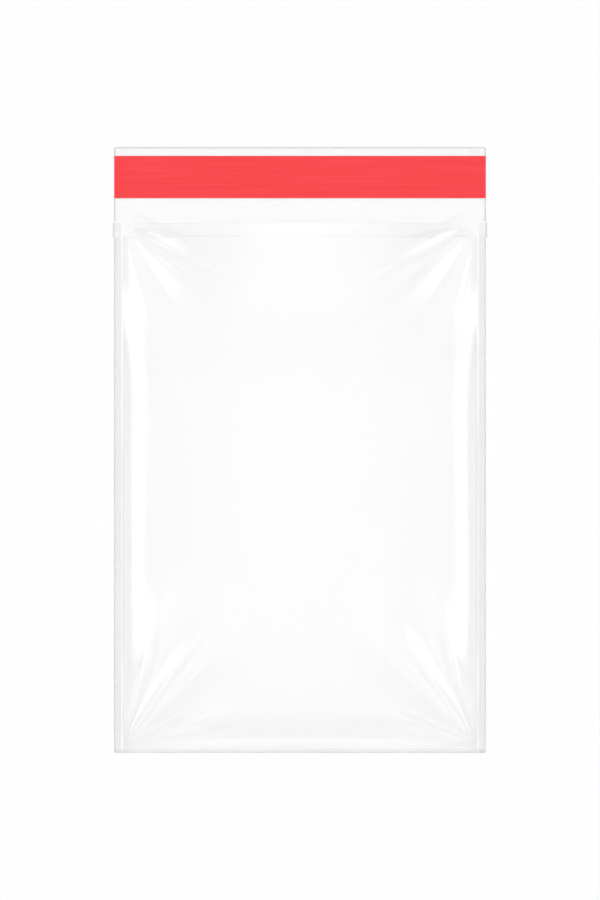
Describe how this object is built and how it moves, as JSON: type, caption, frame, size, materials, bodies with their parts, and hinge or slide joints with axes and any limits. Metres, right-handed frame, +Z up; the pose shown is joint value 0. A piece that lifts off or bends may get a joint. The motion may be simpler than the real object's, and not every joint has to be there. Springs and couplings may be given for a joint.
{
  "type": "self-seal film bag",
  "caption": "Flat clear film bag with welded sides, a folded bottom, a hemmed mouth and a closing flap whose adhesive is covered by a red peel-off strip.",
  "frame": {"origin": "on the floor under the middle of the bag's outline, the flap included", "axes": "+Z up out of the front panel, +Y from the bottom fold towards the mouth and flap, +X across the bag"},
  "size_m": [0.163, 0.264, 0.0133],
  "materials": {
    "clear_film": "clear glossy film",
    "clear_adhesive": "tacky clear adhesive",
    "red_liner": "semi-matte coated film"
  },
  "bodies": {
    "root": {"film_bag": "clear_film", "adhesive_strip": "clear_adhesive", "release_liner": "red_liner"}
  },
  "joints": []
}
